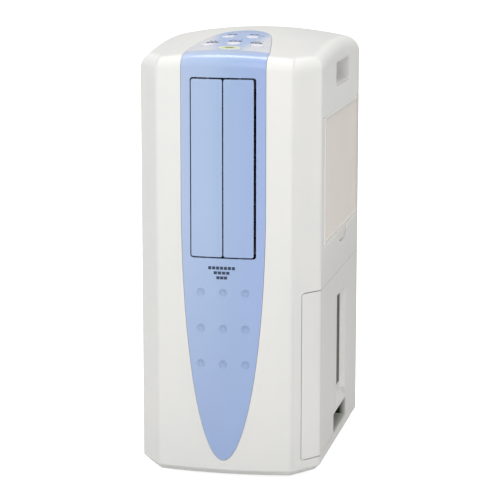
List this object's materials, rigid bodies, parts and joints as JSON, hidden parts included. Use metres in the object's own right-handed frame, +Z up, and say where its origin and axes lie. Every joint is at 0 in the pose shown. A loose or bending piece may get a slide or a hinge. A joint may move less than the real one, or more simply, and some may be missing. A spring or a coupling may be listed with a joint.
{
  "type": "dehumidifier",
  "caption": "Upright portable compressor dehumidifier on casters with pull-out side water tank, swing-out air filter, turning front louvres, top control keys and rear exhaust collar.",
  "frame": {"origin": "on the floor, under the middle of the unit's overall box", "axes": "+X right as seen from the front, +Y towards the back (exhaust side), +Z up; the front outlet faces -Y"},
  "size_m": [0.285, 0.439, 0.6836],
  "materials": {
    "shell_white": "fine satin texture",
    "side_white": "fine satin texture",
    "inlay_blue": "satin gloss",
    "control_film": "satin film",
    "key_white": "gloss",
    "key_green": "gloss",
    "lens_dark": "gloss",
    "frame_dark": "matt",
    "filter_beige": "satin",
    "mesh_beige": "woven net",
    "window_clear": "smoked clear",
    "tank_clear": "translucent",
    "black_plastic": "matt",
    "grey_plastic": "matt",
    "galvanised": "galvanised",
    "fin_aluminium": "mill",
    "copper": "drawn tube",
    "black_paint": "semi gloss",
    "steel_zinc": "zinc",
    "rubber_black": "matt",
    "board_green": "coated",
    "foam_white": "foam"
  },
  "bodies": {
    "chassis": {"base_pan": "side_white", "front_panel": "shell_white", "front_inlay": "inlay_blue", "left_side_panel": "side_white", "right_side_panel": "side_white", "upper_casing": "shell_white", "rear_panel": "side_white", "handle_cups": "side_white", "control_bezel": "control_film", "indicator_lenses": "lens_dark", "control_board": "board_green", "louvre_frame": "frame_dark", "outlet_guard": "frame_dark", "louvre_motor": "steel_zinc", "evaporator": "fin_aluminium", "condenser": "fin_aluminium", "compressor": "black_paint", "compressor_mounts": "rubber_black", "accumulator_and_pipes": "copper", "blower_housing": "foam_white", "blower_motor": "steel_zinc", "exhaust_motor": "steel_zinc", "fan_shroud": "grey_plastic", "exhaust_collar": "side_white", "drain_tray": "foam_white", "air_divider": "foam_white", "bay_partition": "galvanised", "full_switch": "black_plastic", "control_box": "galvanised", "main_board": "board_green", "power_cord": "rubber_black", "drain_spout": "grey_plastic", "case_screws": "steel_zinc"},
    "tank": {"tank_cover": "side_white", "level_window": "window_clear", "tank_container": "tank_clear", "tank_lid": "side_white"},
    "tank_handle": {"tank_handle": "grey_plastic"},
    "tank_float": {"tank_float": "foam_white"},
    "air_filter": {"filter_frame": "filter_beige", "filter_mesh": "mesh_beige"},
    "louvre_left": {"louvre_left": "inlay_blue"},
    "louvre_right": {"louvre_right": "inlay_blue"},
    "louvre_link": {"louvre_link": "grey_plastic"},
    "blower_wheel": {"blower_wheel": "grey_plastic"},
    "exhaust_fan": {"exhaust_fan": "black_plastic"},
    "power_button": {"power_button": "key_green"},
    "mode_button": {"mode_button": "key_white"},
    "timer_button": {"timer_button": "key_white"},
    "airflow_button": {"airflow_button": "key_white"},
    "louvre_button": {"louvre_button": "key_white"},
    "dry_button": {"dry_button": "key_white"},
    "caster_front_left": {"caster_fork_front_left": "steel_zinc"},
    "wheel_front_left": {"caster_wheel_front_left": "black_plastic"},
    "caster_front_right": {"caster_fork_front_right": "steel_zinc"},
    "wheel_front_right": {"caster_wheel_front_right": "black_plastic"},
    "caster_rear_left": {"caster_fork_rear_left": "steel_zinc"},
    "wheel_rear_left": {"caster_wheel_rear_left": "black_plastic"},
    "caster_rear_right": {"caster_fork_rear_right": "steel_zinc"},
    "wheel_rear_right": {"caster_wheel_rear_right": "black_plastic"}
  },
  "joints": [
    {"name": "air_filter_swing", "type": "hinge", "parent": "chassis", "child": "air_filter", "pos_m": [0.1386, 0.03, 0.5561], "axis": [0, -1, 0], "range_deg": [0, 45]},
    {"name": "air_louvre_turn", "type": "hinge", "parent": "chassis", "child": "louvre_left", "pos_m": [-0.0254, -0.21, 0.489], "axis": [0, 0, 1], "range_deg": [0, 90]},
    {"name": "air_louvre_turn_right", "type": "hinge", "parent": "chassis", "child": "louvre_right", "pos_m": [0.0242, -0.21, 0.489], "axis": [0, 0, 1], "range_deg": [0, 90]},
    {"name": "air_louvre_link", "type": "hinge", "parent": "louvre_left", "child": "louvre_link", "pos_m": [-0.0254, -0.201, 0.3406], "axis": [0, 0, 1], "range_deg": [-90, 0]},
    {"name": "bucket_slide", "type": "slide", "parent": "chassis", "child": "tank", "axis": [1, 0, 0], "range_m": [0, 0.25]},
    {"name": "bucket_handle_fold", "type": "hinge", "parent": "tank", "child": "tank_handle", "pos_m": [0.034, 0, 0.286], "axis": [0, -1, 0], "range_deg": [0, 90]},
    {"name": "bucket_float_tilt", "type": "hinge", "parent": "tank", "child": "tank_float", "pos_m": [0, 0.105, 0.273], "axis": [1, 0, 0], "range_deg": [-8, 8]},
    {"name": "fan_blower_spin", "type": "hinge", "parent": "chassis", "child": "blower_wheel", "pos_m": [0, -0.04, 0.46], "axis": [1, 0, 0], "continuous": true},
    {"name": "fan_exhaust_spin", "type": "hinge", "parent": "chassis", "child": "exhaust_fan", "pos_m": [-0.01, 0.163, 0.468], "axis": [0, 1, 0], "continuous": true},
    {"name": "press_power", "type": "slide", "parent": "chassis", "child": "power_button", "axis": [0, 0, -1], "range_m": [0, 0.0012], "stiffness_N_per_m": 300, "springref_m": -0.0006},
    {"name": "press_mode", "type": "slide", "parent": "chassis", "child": "mode_button", "axis": [0, 0, -1], "range_m": [0, 0.0012], "stiffness_N_per_m": 300, "springref_m": -0.0006},
    {"name": "press_timer", "type": "slide", "parent": "chassis", "child": "timer_button", "axis": [0, 0, -1], "range_m": [0, 0.0012], "stiffness_N_per_m": 300, "springref_m": -0.0006},
    {"name": "press_airflow", "type": "slide", "parent": "chassis", "child": "airflow_button", "axis": [0, 0, -1], "range_m": [0, 0.0012], "stiffness_N_per_m": 300, "springref_m": -0.0006},
    {"name": "press_louvre", "type": "slide", "parent": "chassis", "child": "louvre_button", "axis": [0, 0, -1], "range_m": [0, 0.0012], "stiffness_N_per_m": 300, "springref_m": -0.0006},
    {"name": "press_dry", "type": "slide", "parent": "chassis", "child": "dry_button", "axis": [0, 0, -1], "range_m": [0, 0.0012], "stiffness_N_per_m": 300, "springref_m": -0.0006},
    {"name": "swivel_front_left", "type": "hinge", "parent": "chassis", "child": "caster_front_left", "pos_m": [-0.104, -0.15, 0.03], "axis": [0, 0, 1], "continuous": true},
    {"name": "wheel_front_left", "type": "hinge", "parent": "caster_front_left", "child": "wheel_front_left", "pos_m": [-0.104, -0.143, 0.012], "axis": [1, 0, 0], "continuous": true},
    {"name": "swivel_front_right", "type": "hinge", "parent": "chassis", "child": "caster_front_right", "pos_m": [0.104, -0.15, 0.03], "axis": [0, 0, 1], "continuous": true},
    {"name": "wheel_front_right", "type": "hinge", "parent": "caster_front_right", "child": "wheel_front_right", "pos_m": [0.104, -0.143, 0.012], "axis": [1, 0, 0], "continuous": true},
    {"name": "swivel_rear_left", "type": "hinge", "parent": "chassis", "child": "caster_rear_left", "pos_m": [-0.104, 0.15, 0.03], "axis": [0, 0, 1], "continuous": true},
    {"name": "wheel_rear_left", "type": "hinge", "parent": "caster_rear_left", "child": "wheel_rear_left", "pos_m": [-0.104, 0.157, 0.012], "axis": [1, 0, 0], "continuous": true},
    {"name": "swivel_rear_right", "type": "hinge", "parent": "chassis", "child": "caster_rear_right", "pos_m": [0.104, 0.15, 0.03], "axis": [0, 0, 1], "continuous": true},
    {"name": "wheel_rear_right", "type": "hinge", "parent": "caster_rear_right", "child": "wheel_rear_right", "pos_m": [0.104, 0.157, 0.012], "axis": [1, 0, 0], "continuous": true}
  ],
  "couplings": [
    {"joint": "air_louvre_turn_right", "follows": "air_louvre_turn", "ratio": 1},
    {"joint": "air_louvre_link", "follows": "air_louvre_turn", "ratio": -1}
  ]
}
